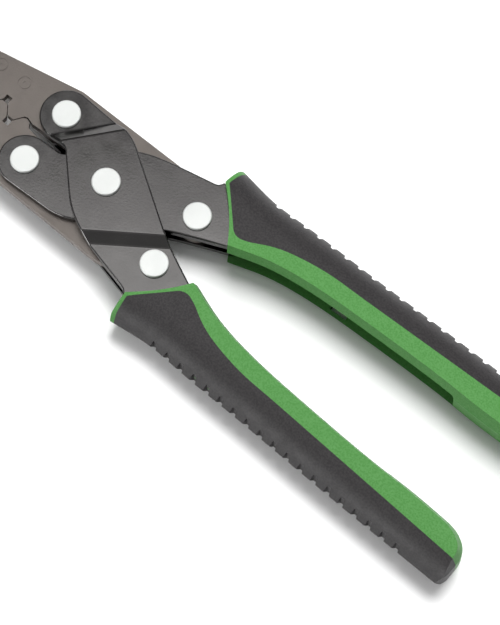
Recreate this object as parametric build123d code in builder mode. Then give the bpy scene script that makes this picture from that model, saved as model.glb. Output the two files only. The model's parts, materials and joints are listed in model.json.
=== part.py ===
"""Parallel-jaw hand crimping pliers.

Two levers, each a pair of punched plates, cross at one pivot rivet.  Lever A is joggled outwards
over lever B on both faces.  The jaws sit between the plates: each one hinges on the front end of
one lever, and a slot in its tail rides on a rivet in the rear part of the other lever, so that
the jaws stay parallel.  Each lever ends in a hard grip core with a soft cover.

Frame: origin on the pivot axis, on the plane the tool lies on.  X runs from the nose towards the
grips, Z is the thickness.  Lever A has its grip at negative Y.  The tool is drawn closed.
"""
from build123d import *
import math
import os

os.makedirs("parts", exist_ok=True)

# ---------------------------------------------------------------- thicknesses, from the middle out
JAW_THICKNESS = 3.0
PLATE_THICKNESS = 2.4
FACE_CLEARANCE = 0.05
HEAD_HEIGHT = 1.1
PLATE_IN = JAW_THICKNESS / 2 + FACE_CLEARANCE         # inner face of the flat plates
PLATE_OUT = PLATE_IN + PLATE_THICKNESS
RAISED_IN = PLATE_OUT + FACE_CLEARANCE                # inner face of lever A over lever B
RAISED_OUT = RAISED_IN + PLATE_THICKNESS
HALF = RAISED_OUT + HEAD_HEIGHT                       # half of the whole thickness

MID = Plane.XY.offset(HALF)                           # middle plane of the tool

# ---------------------------------------------------------------- pivots, in the closed position
FRONT_PIVOT = (-24.2, 9.55)                           # jaw hinges, lever A at +Y
REAR_PIVOT = (27.3, 9.85)                             # guide rivets, lever B at +Y
OPEN_ANGLE = 20.0                                     # full travel between the levers

HEAD_RADIUS = 4.4
SHANK_RADIUS = 2.5
CENTRE_SHANK_RADIUS = 3.0
CENTRE_BUSH_RADIUS = 4.0
JAW_BUSH_RADIUS = 3.75
GUIDE_BUSH_RADIUS = 3.3
RUNNING_FIT = 0.05
SLOT_END_PLAY = 0.4

# ---------------------------------------------------------------- jaws
NOSE_X = -71.0
NOSE_HALF_WIDTH = 9.5
JAW_BEND = (-26.0, 19.1)
JAW_HALF_WIDTH = 19.5
DIE_GAP = 0.5
NEST_PITCH = 4.7
NEST_HEIGHT = 2.7                                     # nest centre, above or below the middle
LAST_NEST_X = -37.4
NEST_SIZES = (2.3, 2.1, 2.0, 1.85, 1.7, 1.55, 1.4)    # from the pivot towards the nose
TAIL_RADIUS = 6.3
TAIL_INNER_Y = 3.7
CENTRE_RELIEF = 6.7
MARK_RADIUS = 2.15
MARK_WIDTH = 0.35
MARK_DEPTH = 0.15

# ---------------------------------------------------------------- levers
BOSS_RADIUS = 8.2
BEND_RUN = 3.4
FRONT_BEND_ANGLE = 50.5                               # direction of the bend lines in plan
REAR_BEND_ANGLE = 36.0
FRONT_BEND_REACH = 19.2                               # low edge of each ramp, from the pivot
REAR_BEND_REACH = 18.9
PLATE_EDGE = 0.5
BEND_RADIUS = 1.3
TANG_END_X = 118.0
TANG_RIVETS = ((68.0, 22.55), (104.0, 22.55))
TANG_RIVET_RADIUS = 1.4
SPACER_X = (60.0, 112.0)
SPACER_Y = (20.7, 24.4)

# ---------------------------------------------------------------- grips
GRIP_END_X = 153.7
SHOULDER_WIDTH = 1.6
INNER_FACE_HALF = 3.0
BACK_RADIUS = 11.4                                    # of each flank of the grip's back
RIDGE_ANGLE = 20.0                                    # steepest slope of the flanks, at the ridge
RIDGE_ROUND = 1.2
COVER_THICKNESS = 1.4
SLOT_HALF = 4.0
SLOT_DEPTH = 5.0
SLOT_END = (121.6, 14.95)
SLOT_CORNER = 1.5
NOTCH_COUNT = 19
FIRST_NOTCH_X = 43.2
LAST_NOTCH_X = 136.9
NOTCH_TOP = 2.2
NOTCH_BOTTOM = 1.2
WINDOW_X = 77.2                                       # latch window in the slot's lower wall
WINDOW_LENGTH = 6.0
WINDOW_Y = (15.2, 17.8)
HEAD_EDGE = 0.4

# ---------------------------------------------------------------- return spring
SPRING_WIRE = 1.1
COIL_GAP = 0.03
SPRING_INNER_RADIUS = 4.25
SPRING_LEG_X = 20.0


def polar(radius, angle):
    return (radius * math.cos(math.radians(angle)), radius * math.sin(math.radians(angle)))


# ================================================================= jaws
def nest_centres():
    """X of each crimp nest with its side and size; even ones are in the lower jaw."""
    for i, size in enumerate(NEST_SIZES):
        side = -1 if i % 2 == 0 else 1
        yield LAST_NEST_X - i * NEST_PITCH, side, size


def die_edge(jaw_side):
    """Zigzag edge of one jaw, from the nose to the relief gap, with its square nests."""
    play = jaw_side * DIE_GAP / 2
    points = [(NOSE_X, play)]
    nests = list(nest_centres())
    x, side, size = nests[-1]
    points.append((x - NEST_PITCH * 0.6, play))
    for x, side, size in reversed(nests):
        land = side * (NEST_HEIGHT - size / 2) + play
        floor = side * (NEST_HEIGHT + size / 2)
        points.append((x - size / 2, land))
        if side == jaw_side:
            points.append((x - size / 2, floor))
            points.append((x + size / 2, floor))
        points.append((x + size / 2, land))
    crest = NEST_HEIGHT - NEST_SIZES[0] / 2
    points.append((LAST_NEST_X + 3.1, crest * 0.85 + play))
    points.append((LAST_NEST_X + 4.2, crest * 1.15 + play))
    points.append((LAST_NEST_X + 5.4, crest * 0.9 + play))
    return points


def slot_direction():
    """Length and slope of the path that a guide rivet takes in the jaw's tail."""
    front = math.hypot(*FRONT_PIVOT)
    rear = math.hypot(*REAR_PIVOT)
    front_angle = math.degrees(math.atan2(FRONT_PIVOT[1], -FRONT_PIVOT[0])) + OPEN_ANGLE / 2
    rear_angle = math.degrees(math.atan2(REAR_PIVOT[1], REAR_PIVOT[0])) + OPEN_ANGLE / 2
    front_open = polar(front, front_angle)
    rear_open = polar(rear, rear_angle)
    dx = (rear_open[0] + front_open[0]) - (REAR_PIVOT[0] - FRONT_PIVOT[0])
    dy = (rear_open[1] - front_open[1]) - (REAR_PIVOT[1] - FRONT_PIVOT[1])
    return dx, dy


def jaw(side):
    """One jaw; side is +1 for the jaw that hinges on lever A."""
    relief = 1.3 if side > 0 else 0.5
    corner = math.sqrt(CENTRE_RELIEF**2 - TAIL_INNER_Y**2)
    front_corner = (-math.sqrt(CENTRE_RELIEF**2 - 3.0**2), 3.0)
    tail_top = (REAR_PIVOT[0] + TAIL_RADIUS * 0.25, REAR_PIVOT[1] + TAIL_RADIUS * 0.968)
    tail_back = (REAR_PIVOT[0] + TAIL_RADIUS, REAR_PIVOT[1])
    tail_low = (REAR_PIVOT[0], REAR_PIVOT[1] - TAIL_RADIUS)
    with BuildPart() as body:
        with BuildSketch(MID.offset(-JAW_THICKNESS / 2)) as outline:
            with BuildLine():
                die = [(x, side * y) for x, y in die_edge(side)]
                Polyline(*die, (-30.8, relief), (-14.0, 2.4), front_corner)
                ThreePointArc(front_corner, (0, CENTRE_RELIEF), (corner, TAIL_INNER_Y))
                Line((corner, TAIL_INNER_Y), tail_low)
                ThreePointArc(tail_low, tail_back, tail_top)
                Line(tail_top, (12.0, JAW_HALF_WIDTH))
                Polyline((12.0, JAW_HALF_WIDTH), JAW_BEND, (NOSE_X, NOSE_HALF_WIDTH), die[0])
            make_face()
            fillet(outline.vertices().group_by(Axis.X)[0].sort_by(Axis.Y)[-1], 2.5)
        extrude(amount=JAW_THICKNESS)
        with Locations(MID * Location((*FRONT_PIVOT, 0))):
            Hole(JAW_BUSH_RADIUS)
        dx, dy = slot_direction()
        slot_angle = math.degrees(math.atan2(dy, dx))
        slot_length = math.hypot(dx, dy) + 2 * (GUIDE_BUSH_RADIUS + RUNNING_FIT) + SLOT_END_PLAY
        slot_centre = (REAR_PIVOT[0] + dx / 2, REAR_PIVOT[1] + dy / 2)
        with BuildSketch(MID.offset(-JAW_THICKNESS / 2)):
            with Locations(slot_centre):
                SlotOverall(slot_length, 2 * (GUIDE_BUSH_RADIUS + RUNNING_FIT), rotation=slot_angle)
        extrude(amount=JAW_THICKNESS, mode=Mode.SUBTRACT)
        for face in (1, -1):
            with BuildSketch(MID.offset(face * (JAW_THICKNESS / 2 - MARK_DEPTH))):
                for x, nest_side, size in nest_centres():
                    if nest_side == side:
                        with Locations((x + 0.6, NEST_HEIGHT + 7.2)):
                            Circle(MARK_RADIUS)
                            Circle(MARK_RADIUS - MARK_WIDTH, mode=Mode.SUBTRACT)
                            Circle(size / 4)
            extrude(amount=face * 1.0, mode=Mode.SUBTRACT)
        if side < 0:
            mirror(about=Plane.XZ, mode=Mode.REPLACE)
    return body.part


# ================================================================= levers
def lever_outline():
    """Plan of a lever plate: boss in front at +Y, tang inside the grip at -Y."""
    x, y = FRONT_PIVOT
    top = (x, y + BOSS_RADIUS)
    low = (x, y - BOSS_RADIUS)
    with BuildSketch() as outline:
        with BuildLine():
            ThreePointArc(top, (x - BOSS_RADIUS, y), low)
            Line(low, (-18.4, 1.1))
            ThreePointArc((-18.4, 1.1), (-16.9, 0.6), (-15.7, -0.5))
            Line((-15.7, -0.5), (-6.4, -9.7))
            Spline([(-6.4, -9.7), (-1.0, -13.9), (4.8, -16.6), (14.0, -19.1), (24.2, -21.4)],
                   tangents=[(1, -1), (1, -0.22)])
            ThreePointArc((24.2, -21.4), (25.6, -22.1), (26.3, -23.4))
            Polyline((26.3, -23.4), (30.0, -24.0), (TANG_END_X, -25.6), (TANG_END_X, -20.6),
                     (58.0, -19.8))
            Spline([(58.0, -19.8), (48.5, -15.6), (40.0, -8.2)], tangents=[(-1, 0.1), (-1, 0.5)])
            Spline([(40.0, -8.2), (30.5, -4.0), (22.0, 0.3)], tangents=[(-1, 0.43), (-1, 0.63)])
            Line((22.0, 0.3), (1.5, 13.2))
            ThreePointArc((1.5, 13.2), (-3.6, 16.0), (-9.5, 17.1))
            Line((-9.5, 17.1), top)
        make_face()
        fillet(outline.vertices().group_by(Axis.X)[-1], 2.0)
    return outline.sketch


def ramp_profile(plane, low_edge, low_end, high_end):
    """Bent strip seen along its bend line: low, ramp, raised, PLATE_THICKNESS thick."""
    slope = math.atan2(RAISED_IN - PLATE_IN, BEND_RUN)
    shift = PLATE_THICKNESS * math.tan(slope / 2)
    start = low_edge + shift                          # underside starts to rise here
    with BuildSketch(plane) as profile:
        with BuildLine():
            Polyline((low_end, PLATE_IN), (start, PLATE_IN), (start + BEND_RUN, RAISED_IN),
                     (high_end, RAISED_IN), (high_end, RAISED_OUT),
                     (low_edge + BEND_RUN, RAISED_OUT), (low_edge, PLATE_OUT),
                     (low_end, PLATE_OUT), close=True)
        make_face()
        fillet(profile.vertices().filter_by(lambda v: low_end + 1 < v.X < high_end - 1), BEND_RADIUS)
    return profile.sketch


def lever_holes(joggled, front_side):
    """Rivet holes of one plate, given the Y side of its front boss."""
    pivot_hole = CENTRE_SHANK_RADIUS if joggled else CENTRE_SHANK_RADIUS + RUNNING_FIT
    with Locations(MID * Location((FRONT_PIVOT[0], front_side * FRONT_PIVOT[1], 0))):
        Hole(SHANK_RADIUS)
    with Locations(MID * Location((REAR_PIVOT[0], -front_side * REAR_PIVOT[1], 0))):
        Hole(SHANK_RADIUS)
    with Locations(MID * Location((0, 0, 0))):
        Hole(pivot_hole)
    for x, y in TANG_RIVETS:
        with Locations(MID * Location((x, -front_side * y, 0))):
            Hole(TANG_RIVET_RADIUS)


def outline_edges(plate):
    """Edges between a plate's outer face and its sides, holes left out."""
    faces = plate.faces().filter_by(lambda f: f.normal_at().Z > 0.3)
    edges = [e for f in faces for e in f.outer_wire().edges()]
    return [e for e in edges if sum(e.is_same(other) for other in edges) == 1]


def lever_a_plate(back):
    """Joggled plate: low at the boss and in the grip, raised where it crosses lever B."""
    front = Vector(*polar(1, FRONT_BEND_ANGLE - 90))
    rear = Vector(*polar(1, REAR_BEND_ANGLE - 90))
    front_plane = Plane(origin=(0, 0, HALF), x_dir=front, z_dir=Vector(0, 0, 1).cross(front) * -1)
    rear_plane = Plane(origin=(0, 0, HALF), x_dir=rear * -1, z_dir=Vector(0, 0, 1).cross(rear))
    with BuildPart() as plate:
        extrude(ramp_profile(front_plane, -FRONT_BEND_REACH, -60, 8), amount=110, both=True)
        extrude(ramp_profile(rear_plane, -REAR_BEND_REACH, -140, 8), amount=110, both=True)
        with BuildSketch(MID):
            add(lever_outline())
        extrude(amount=RAISED_OUT + 1, mode=Mode.INTERSECT)
        fillet(outline_edges(plate), PLATE_EDGE)
        lever_holes(True, 1)
        if back:
            mirror(about=MID, mode=Mode.REPLACE)
    return plate.part


def lever_b_plate(back):
    """Flat plate, the mirror image of lever A in plan."""
    with BuildPart() as plate:
        with BuildSketch(MID.offset(PLATE_IN)):
            add(lever_outline())
            mirror(about=Plane.XZ, mode=Mode.REPLACE)
        extrude(amount=PLATE_THICKNESS)
        fillet(outline_edges(plate), PLATE_EDGE)
        lever_holes(False, -1)
        if back:
            mirror(about=MID, mode=Mode.REPLACE)
    return plate.part




# ================================================================= grips
INNER_CURVE = [(41.7, 6.5), (51.5, 9.8), (63.4, 12.2), (86.6, 14.0), (120.0, 14.9), (143.5, 15.2)]
RIDGE_CURVE = [(20.0, 31.6), (31.5, 30.5), (41.5, 29.35), (52.0, 29.6), (75.0, 30.0), (100.0, 30.6),
               (124.0, 31.0), (165.0, 31.2)]
RIM_BACK = (27.3, 22.9)
RIM_MIDDLE = (35.0, 15.5)
RIM_TIP = (27.4, 28.4)


def grip_plan(inset=0.0):
    """Plan of the grip of lever B, open towards the front and the outer side, or drawn inset."""
    inner = [(x, y + inset) for x, y in INNER_CURVE]
    inner[-1] = (inner[-1][0] - inset, inner[-1][1])
    end = GRIP_END_X - inset
    corner = (148.3 - inset, 32.4)
    with BuildSketch() as plan:
        with BuildLine():
            Polyline(corner, (corner[0], 42.0), (15.0, 42.0), (15.0, inner[0][1] - 8), inner[0])
            Spline(inner, tangents=[(1, 0.32), (1, 0.05)])
            Spline([inner[-1], (end - 3.2, 17.3 + inset * 0.7), (end, 23.4)], tangents=[(1, 0.05), (0, 1)])
            Line((end, 23.4), (end, 27.3))
            ThreePointArc((end, 27.3), (end - 1.35, 30.6), corner)
        make_face()
    return plan.sketch


def rim_plan():
    """Everything behind the slanted front rim of the grip."""
    with BuildSketch() as plan:
        with BuildLine():
            ThreePointArc((30.8, 32.6), (28.2, 31.2), RIM_TIP)
            Line(RIM_TIP, RIM_BACK)
            ThreePointArc(RIM_BACK, RIM_MIDDLE, INNER_CURVE[0])
            Polyline(INNER_CURVE[0], (41.7, -5.0), (170.0, -5.0), (170.0, 45.0), (30.8, 45.0), (30.8, 32.6))
        make_face()
    return plan.sketch


def ridge_y(x):
    """Distance of the grip's outer ridge from the axis at x."""
    for (x0, y0), (x1, y1) in zip(RIDGE_CURVE, RIDGE_CURVE[1:]):
        if x0 <= x <= x1:
            return y0 + (y1 - y0) * (x - x0) / (x1 - x0)


def rounded_back(shrink):
    """Long bar with the pointed round back of the grip, swept along its ridge."""
    centre_y = -BACK_RADIUS * math.cos(math.radians(RIDGE_ANGLE))
    centre_z = HALF - BACK_RADIUS
    radius = BACK_RADIUS - shrink
    ridge = centre_y + math.sqrt(radius**2 - centre_z**2)
    middle = math.radians(90 + RIDGE_ANGLE) / 2
    flank = (centre_y + radius * math.cos(middle), centre_z + radius * math.sin(middle))
    top = HALF - shrink
    start_x, start_y = RIDGE_CURVE[0]
    with BuildPart() as bar:
        with BuildLine(MID) as path:
            Spline(RIDGE_CURVE)
        start = path.line @ 0
        section = Plane(origin=start, x_dir=Vector(0, 0, 1).cross(path.line % 0), z_dir=path.line % 0)
        with BuildSketch(section) as profile:
            with BuildLine():
                ThreePointArc((ridge, 0), flank, (centre_y, top))
                Polyline((centre_y, top), (-36.0, top), (-36.0, -top), (centre_y, -top))
                ThreePointArc((centre_y, -top), (flank[0], -flank[1]), (ridge, 0))
            make_face()
            fillet(profile.vertices().sort_by(Axis.X)[-1], RIDGE_ROUND)
        sweep(path=path.line)
    return bar.part


def grip_envelope():
    """Whole grip, core and cover together."""
    with BuildPart() as grip:
        with BuildSketch(MID.offset(-INNER_FACE_HALF)):
            add(grip_plan())
        extrude(amount=2 * INNER_FACE_HALF)
        for side in (1, -1):
            with BuildSketch(MID.offset(side * INNER_FACE_HALF)):
                add(grip_plan())
            with BuildSketch(MID.offset(side * HALF)):
                add(grip_plan(SHOULDER_WIDTH))
            loft(ruled=True)
        add(rounded_back(0), mode=Mode.INTERSECT)
        with BuildSketch(MID.offset(-HALF)):
            add(rim_plan())
        extrude(amount=2 * HALF, mode=Mode.INTERSECT)
    return grip.part


def cover_zone():
    """Plan of the region that the soft cover takes: all of the grip beyond its edge line."""
    with BuildSketch() as zone:
        with BuildLine():
            Polyline((29.4, 45.0), (29.3, 31.0), (28.7, 28.6), (28.4, 23.4))
            ThreePointArc((28.4, 23.4), (33.9, 17.9), (38.6, 13.1))
            ThreePointArc((38.6, 13.1), (40.9, 11.7), (43.6, 12.0))
            Spline([(43.6, 12.0), (48.5, 14.4), (53.5, 16.7), (60.0, 18.5), (70.0, 20.1), (84.0, 20.7)],
                   tangents=[(1, 0.3), (1, 0.045)])
            Polyline((84.0, 20.7), (GRIP_END_X + 15, 24.5), (GRIP_END_X + 15, 45.0), (29.4, 45.0))
        make_face()
    return zone.sketch


def core_inside():
    """The part of the core that carries the cover."""
    end = GRIP_END_X - COVER_THICKNESS
    with BuildPart() as inside:
        add(rounded_back(COVER_THICKNESS))
        with BuildSketch(MID.offset(-HALF)) as plan:
            with Locations((20, -10)):
                Rectangle(end - 20, 60, align=(Align.MIN, Align.MIN))
            fillet(plan.vertices().group_by(Axis.X)[-1], 3.4)
        extrude(amount=2 * HALF, mode=Mode.INTERSECT)
        with BuildSketch(MID.offset(-HALF)):
            add(cover_zone())
        extrude(amount=2 * HALF, mode=Mode.INTERSECT)
    return inside.part


def cover_shell():
    """Soft cover before its grip notches are cut: a C-shaped skin round the core's back."""
    with BuildPart() as shell:
        add(GRIP)
        with BuildSketch(MID.offset(-HALF)):
            add(cover_zone())
        extrude(amount=2 * HALF, mode=Mode.INTERSECT)
        add(INSIDE, mode=Mode.SUBTRACT)
    return shell.part


def grip_core(side):
    """Hard core with its open slot, the cavity for the lever plates and the latch window."""
    with BuildPart() as core:
        add(GRIP)
        with BuildSketch(MID.offset(-HALF)):
            add(cover_zone())
        extrude(amount=2 * HALF, mode=Mode.SUBTRACT)
        add(INSIDE)
        with BuildSketch(MID.offset(-PLATE_OUT)):
            add(lever_outline())
            mirror(about=Plane.XZ, mode=Mode.REPLACE)
        extrude(amount=2 * PLATE_OUT, mode=Mode.SUBTRACT)
        add(slot_body(), mode=Mode.SUBTRACT)
        with BuildSketch(MID.offset(-HALF)):
            with Locations((WINDOW_X, sum(WINDOW_Y) / 2)):
                Rectangle(WINDOW_LENGTH, WINDOW_Y[1] - WINDOW_Y[0], rotation=3)
        extrude(amount=HALF, mode=Mode.SUBTRACT)
        if side < 0:
            mirror(about=Plane.XZ, mode=Mode.REPLACE)
    return core.part


def slot_body():
    """Slot that runs along the inner side of the core, with a rounded rear end."""
    line = INNER_CURVE[:-2] + [SLOT_END]
    near = [(x, y - 4) for x, y in line]
    far = [(x, y + SLOT_DEPTH) for x, y in line]
    with BuildPart() as slot:
        with BuildSketch(MID.offset(-SLOT_HALF)):
            with BuildLine():
                Line((30, near[0][1]), near[0])
                Spline(near, tangents=[(1, 0.32), (1, 0.05)])
                Line(near[-1], far[-1])
                Spline(list(reversed(far)), tangents=[(-1, -0.05), (-1, -0.32)])
                Polyline(far[0], (30, far[0][1]), (30, near[0][1]))
            make_face()
        extrude(amount=2 * SLOT_HALF)
        end = slot.faces().sort_by(Axis.X)[-1]
        fillet(end.edges().filter_by(lambda edge: abs(edge.tangent_at(0.5).Z) < 0.1), SLOT_CORNER)
    return slot.part


def grip_cover(side):
    """Soft cover with a row of notches along its back."""
    pitch = (LAST_NOTCH_X - FIRST_NOTCH_X) / (NOTCH_COUNT - 1)
    with BuildPart() as cover:
        add(cover_shell())
        for i in range(NOTCH_COUNT):
            x = FIRST_NOTCH_X + i * pitch
            y = ridge_y(x) - COVER_THICKNESS - 0.15
            with BuildSketch(MID.offset(-HALF)):
                with BuildLine():
                    Polyline((x - NOTCH_BOTTOM / 2, y), (x + NOTCH_BOTTOM / 2, y),
                             (x + NOTCH_TOP / 2 + 0.2, y + 2.0), (x - NOTCH_TOP / 2 - 0.2, y + 2.0),
                             close=True)
                make_face()
        extrude(amount=2 * HALF, mode=Mode.SUBTRACT)
        if side < 0:
            mirror(about=Plane.XZ, mode=Mode.REPLACE)
    return cover.part


# ================================================================= rivets, bushes, spacers
def rivet(x, y, shank_radius, reach):
    """Rivet with a flat round head on both faces, whose heads sit on plates at +-reach."""
    with BuildPart() as body:
        with BuildSketch(MID.offset(-reach)):
            with Locations((x, y)):
                Circle(shank_radius)
        extrude(amount=2 * reach)
        for side in (1, -1):
            with BuildSketch(MID.offset(side * reach)):
                with Locations((x, y)):
                    Circle(HEAD_RADIUS)
            extrude(amount=side * HEAD_HEIGHT)
        rims = body.edges().filter_by(GeomType.CIRCLE).sort_by(Axis.Z)
        fillet([rims[0], rims[-1]], HEAD_EDGE)
    return body.part


def bush(x, y, inner, outer):
    """Plain sleeve as long as the jaws are thick."""
    with BuildPart() as body:
        with BuildSketch(MID.offset(-JAW_THICKNESS / 2)):
            with Locations((x, y)):
                Circle(outer)
                Circle(inner, mode=Mode.SUBTRACT)
        extrude(amount=JAW_THICKNESS)
    return body.part


def tang_spacer(side):
    """Filler block between the two plates of one lever, inside the grip."""
    x_low, x_high = SPACER_X
    y_low, y_high = SPACER_Y
    with BuildPart() as body:
        with BuildSketch(MID.offset(-PLATE_IN)) as plan:
            with Locations(((x_low + x_high) / 2, side * (y_low + y_high) / 2)):
                Rectangle(x_high - x_low, y_high - y_low)
            fillet(plan.vertices(), 1.2)
            for x, y in TANG_RIVETS:
                with Locations((x, side * y)):
                    Circle(TANG_RIVET_RADIUS, mode=Mode.SUBTRACT)
        extrude(amount=2 * PLATE_IN)
    return body.part


def tang_rivets(side):
    """The two flush rivets that hold plates and spacer together inside the grip."""
    with BuildPart() as body:
        with BuildSketch(MID.offset(-PLATE_OUT)):
            for x, y in TANG_RIVETS:
                with Locations((x, side * y)):
                    Circle(TANG_RIVET_RADIUS)
        extrude(amount=2 * PLATE_OUT)
    return body.part


def spring_half(side):
    """Half of the return spring: a stack of coils on the pivot bush and one leg along a jaw's tail."""
    coil_height = JAW_THICKNESS / 2 - FACE_CLEARANCE - COIL_GAP
    leg_y = side * (TAIL_INNER_Y - SPRING_WIRE / 2 - 0.08)
    coil_base = COIL_GAP if side > 0 else -COIL_GAP - coil_height
    leg_z = side * (COIL_GAP + coil_height / 2)
    with BuildPart() as body:
        with BuildSketch(MID.offset(coil_base)):
            Circle(SPRING_INNER_RADIUS + SPRING_WIRE)
            Circle(SPRING_INNER_RADIUS, mode=Mode.SUBTRACT)
        extrude(amount=coil_height)
        start_x = math.sqrt((SPRING_INNER_RADIUS + SPRING_WIRE / 2)**2 - leg_y**2)
        with BuildSketch(Plane(origin=(start_x, leg_y, HALF + leg_z), x_dir=(0, 1, 0), z_dir=(1, 0, 0))):
            Circle(SPRING_WIRE / 2)
        extrude(amount=SPRING_LEG_X - start_x)
        tip = body.edges().filter_by(GeomType.CIRCLE).sort_by(Axis.X)[-1]
        fillet(tip, SPRING_WIRE * 0.3)
    return body.part


# ================================================================= assembly
GRIP = grip_envelope()
INSIDE = core_inside()

parts = {
    "upper_jaw": jaw(1),
    "lower_jaw": jaw(-1),
    "pivot_rivet": rivet(0, 0, CENTRE_SHANK_RADIUS, RAISED_OUT),
    "pivot_bush": bush(0, 0, CENTRE_SHANK_RADIUS, CENTRE_BUSH_RADIUS),
    "return_spring_upper_half": spring_half(1),
    "return_spring_lower_half": spring_half(-1),
}
for lever, side in (("a", 1), ("b", -1)):
    plate = lever_a_plate if lever == "a" else lever_b_plate
    front_x, front_y = FRONT_PIVOT
    rear_x, rear_y = REAR_PIVOT
    jaw_name = "upper_jaw" if lever == "a" else "lower_jaw"
    parts[f"lever_{lever}_front_plate"] = plate(False)
    parts[f"lever_{lever}_back_plate"] = plate(True)
    parts[f"lever_{lever}_jaw_rivet"] = rivet(front_x, side * front_y, SHANK_RADIUS, PLATE_OUT)
    parts[f"lever_{lever}_guide_rivet"] = rivet(rear_x, -side * rear_y, SHANK_RADIUS, PLATE_OUT)
    parts[f"lever_{lever}_guide_bush"] = bush(rear_x, -side * rear_y, SHANK_RADIUS, GUIDE_BUSH_RADIUS)
    parts[f"{jaw_name}_bush"] = bush(front_x, side * front_y, SHANK_RADIUS + RUNNING_FIT, JAW_BUSH_RADIUS)
    parts[f"lever_{lever}_tang_spacer"] = tang_spacer(-side)
    parts[f"lever_{lever}_tang_rivets"] = tang_rivets(-side)
    parts[f"lever_{lever}_grip_core"] = grip_core(-side)
    parts[f"lever_{lever}_grip_cover"] = grip_cover(-side)

for name, part in parts.items():
    part.label = name
    export_step(part, f"parts/{name}.step")
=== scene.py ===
"""Looks of a pair of parallel-jaw crimping pliers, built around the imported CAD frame."""
import json
import math

import bpy
from mathutils import Matrix, Vector


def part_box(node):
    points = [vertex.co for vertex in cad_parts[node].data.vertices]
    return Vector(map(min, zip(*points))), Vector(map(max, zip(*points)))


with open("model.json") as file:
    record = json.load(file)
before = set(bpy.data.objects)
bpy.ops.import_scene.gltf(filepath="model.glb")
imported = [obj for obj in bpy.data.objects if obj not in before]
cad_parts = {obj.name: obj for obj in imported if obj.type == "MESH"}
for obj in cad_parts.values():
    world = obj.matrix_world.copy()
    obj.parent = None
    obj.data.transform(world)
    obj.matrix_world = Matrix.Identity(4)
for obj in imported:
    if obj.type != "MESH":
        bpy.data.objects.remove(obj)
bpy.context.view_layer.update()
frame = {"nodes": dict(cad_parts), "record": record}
nodes = frame["nodes"]
scene = bpy.context.scene
scene.view_settings.view_transform = "Standard"


# ------------------------------------------------------------------ material helpers
class Nodes:
    """Short calls for building one material's node tree."""

    def __init__(self, name):
        self.material = bpy.data.materials.new(name)
        self.material.use_nodes = True
        self.tree = self.material.node_tree
        self.shader = self.tree.nodes["Principled BSDF"]

    def add(self, kind, inputs):
        """New node of this kind with its inputs, given by name, set or linked."""
        node = self.tree.nodes.new(kind)
        for key, value in inputs.items():
            self.put(value, node.inputs[key])
        return node

    def put(self, value, socket):
        """Link a socket to this one, or set a plain value on it."""
        if isinstance(value, bpy.types.NodeSocket):
            self.tree.links.new(value, socket)
        else:
            socket.default_value = value

    def set(self, **values):
        """Set the shader's inputs; an underscore in a name stands for a space."""
        for key, value in values.items():
            self.put(value, self.shader.inputs[key.replace("_", " ")])

    def noise(self, scale, detail, roughness=0.5):
        """Noise fixed to the object, scale in cells per metre."""
        place = self.add("ShaderNodeTexCoord", {}).outputs["Object"]
        node = self.add("ShaderNodeTexNoise", {"Scale": scale, "Detail": detail, "Roughness": roughness,
                                               "Vector": place})
        return node.outputs["Fac"]

    def ramp(self, fac, *stops):
        """Blend of two colours between their two positions."""
        node = self.add("ShaderNodeValToRGB", {"Fac": fac})
        for element, (position, colour) in zip(node.color_ramp.elements, stops):
            element.position = position
            element.color = (*colour, 1.0)
        return node.outputs["Color"]

    def grey(self, fac, low, high):
        """Noise stretched to run from low to high."""
        node = self.add("ShaderNodeMapRange", {"Value": fac, "From Min": 0.3, "From Max": 0.7,
                                               "To Min": low, "To Max": high})
        return node.outputs["Result"]

    def bump(self, height, distance, strength):
        """Relief of this depth in metres."""
        node = self.add("ShaderNodeBump", {"Height": height, "Distance": distance, "Strength": strength})
        return node.outputs["Normal"]


def steel(name, low, high, rough, grain, depth=0.00002, metallic=1.0):
    """Bare or blued steel: cloudy tone, uneven polish and a fine grain."""
    m = Nodes(name)
    cloud = m.noise(60.0, 5.0, 0.6)
    m.set(Base_Color=m.ramp(cloud, (0.3, low), (0.7, high)), Metallic=metallic,
          Roughness=m.grey(m.noise(240.0, 5.0), rough - 0.04, rough + 0.05),
          Normal=m.bump(m.noise(grain, 2.0), depth, 0.5))
    return m.material


def plastic(name, low, high, rough, grain, depth, specular):
    """Moulded plastic: pebbled surface with a slightly speckled colour."""
    m = Nodes(name)
    pebbles = m.noise(grain, 2.0, 0.6)
    m.set(Base_Color=m.ramp(m.noise(grain * 0.7, 1.0), (0.35, low), (0.65, high)),
          Roughness=m.grey(m.noise(300.0, 4.0), rough - 0.05, rough + 0.05),
          Specular_IOR_Level=specular, Normal=m.bump(pebbles, depth, 0.7))
    return m.material


# ------------------------------------------------------------------ materials by slot
looks = {
    "jaw_steel": steel("blasted_steel", (0.20, 0.178, 0.162), (0.25, 0.225, 0.207), 0.45, 2600.0,
                       0.00008),
    "lever_steel": steel("blued_steel", (0.092, 0.089, 0.088), (0.112, 0.109, 0.107), 0.15, 1500.0),
    "rivet_steel": steel("rivet_steel", (0.57, 0.585, 0.57), (0.63, 0.645, 0.63), 0.42, 1500.0,
                         metallic=0.45),
    "spring_steel": steel("spring_steel", (0.40, 0.39, 0.38), (0.5, 0.49, 0.47), 0.3, 1200.0),
    "grip_green": plastic("green_nylon", (0.058, 0.188, 0.046), (0.078, 0.222, 0.064), 0.45, 2600.0,
                          0.00008, 0.12),
    "grip_black": plastic("black_rubber", (0.020, 0.0185, 0.0195), (0.030, 0.028, 0.0285), 0.5, 2400.0,
                          0.00008, 0.3),
}
slot_of = {s["node"]: s["material_slot"] for s in frame["record"]["subparts"]}
for name, node in nodes.items():
    for slot in node.material_slots:
        slot.material = looks[slot_of[name]]


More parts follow.
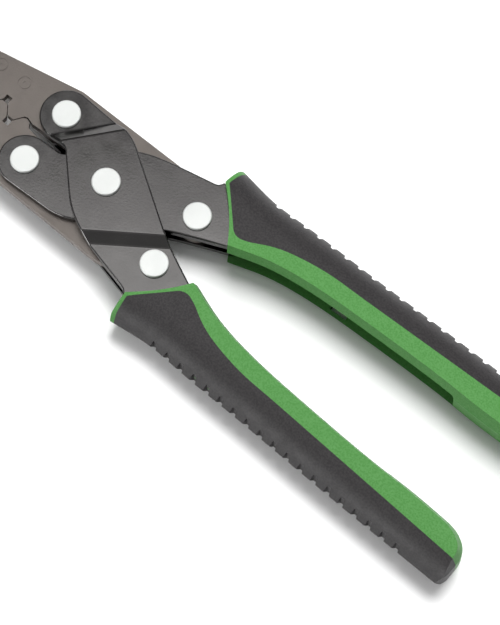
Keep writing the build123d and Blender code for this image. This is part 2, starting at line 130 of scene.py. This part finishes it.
# ------------------------------------------------------------------ camera
TILT = math.radians(19.5)                             # of the line of sight from straight down
IMAGE_UP = Vector((-0.6444, 0.7647, 0.0))             # top of the view, laid on the table
DISTANCE = 1.0
SENSOR = 36.0
FOCAL_LENGTH = 193.94                                 # mm, on that sensor
AIM_BELOW_MIDDLE = 0.00155

jaw_low, jaw_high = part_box("upper_jaw")
TARGET = Vector((0.0576, -0.0017, (jaw_low.z + jaw_high.z) / 2 - AIM_BELOW_MIDDLE))
back = -IMAGE_UP * math.sin(TILT) + Vector((0, 0, math.cos(TILT)))
right = IMAGE_UP.cross(back).normalized()
up = back.cross(right)


def turned(place, x_axis, y_axis, z_axis):
    """Matrix that puts an object at a place with these three axes."""
    return Matrix.Translation(place) @ Matrix((x_axis, y_axis, z_axis)).transposed().to_4x4()


camera = bpy.data.objects.new("camera", bpy.data.cameras.new("camera"))
camera.data.sensor_fit = "AUTO"
camera.data.sensor_width = SENSOR
camera.data.lens = FOCAL_LENGTH
camera.data.clip_start = 0.05
camera.matrix_world = turned(TARGET + back * DISTANCE, right, up, back)
scene.collection.objects.link(camera)
scene.camera = camera


# ------------------------------------------------------------------ floor and light
def floor(half_size):
    """White table top at z = 0."""
    s = half_size
    mesh = bpy.data.meshes.new("floor")
    mesh.from_pydata([(-s, -s, 0), (s, -s, 0), (s, s, 0), (-s, s, 0)], [], [(0, 1, 2, 3)])
    piece = bpy.data.objects.new("floor", mesh)
    scene.collection.objects.link(piece)
    m = Nodes("floor")
    m.set(Base_Color=(0.9, 0.9, 0.9, 1.0), Roughness=0.9, Specular_IOR_Level=0.1)
    mesh.materials.append(m.material)


def softbox(name, place, aim, width, depth, power, diffuse=True, glossy=True):
    """Rectangular light squared up with the view: width along its right, depth along its up."""
    light = bpy.data.lights.new(name, "AREA")
    light.shape = "RECTANGLE"
    light.size = width
    light.size_y = depth
    light.energy = power
    box = bpy.data.objects.new(name, light)
    axis = (place - aim).normalized()
    depth_axis = axis.cross(right).normalized()
    width_axis = depth_axis.cross(axis)
    box.matrix_world = turned(place, width_axis, depth_axis, axis)
    box.visible_diffuse = diffuse
    box.visible_glossy = glossy
    scene.collection.objects.link(box)


def studio_world():
    """Pale surroundings, bright overhead and dark near the horizon."""
    world = bpy.data.worlds.new("studio")
    scene.world = world
    world.use_nodes = True
    tree = world.node_tree
    background = tree.nodes["Background"]
    background.inputs["Color"].default_value = (1, 1, 1, 1)
    place = tree.nodes.new("ShaderNodeTexCoord")
    height = tree.nodes.new("ShaderNodeVectorMath")
    height.operation = "DOT_PRODUCT"
    height.inputs[1].default_value = (0, 0, 1)
    fade = tree.nodes.new("ShaderNodeMapRange")
    for key, value in (("From Min", 0.15), ("From Max", 0.85), ("To Min", 0.05), ("To Max", 0.50)):
        fade.inputs[key].default_value = value
    tree.links.new(place.outputs["Generated"], height.inputs[0])
    tree.links.new(height.outputs["Value"], fade.inputs["Value"])
    tree.links.new(fade.outputs["Result"], background.inputs["Strength"])


def beside(across, along, above):
    """Place this far from the target: to the view's right, towards its top, and upwards."""
    return TARGET + right * across + IMAGE_UP * along + Vector((0, 0, above))


floor(2.5)
studio_world()
softbox("key", beside(0.30, 0.62, 1.25), TARGET, 1.0, 0.9, 31.0, glossy=False)
softbox("sheen", beside(0, 0.265, 1.25), beside(0, 0.265, 0), 0.9, 0.53, 2.9, diffuse=False)
softbox("fill", beside(-0.9, -0.7, 0.30), TARGET, 0.8, 0.3, 8.0)
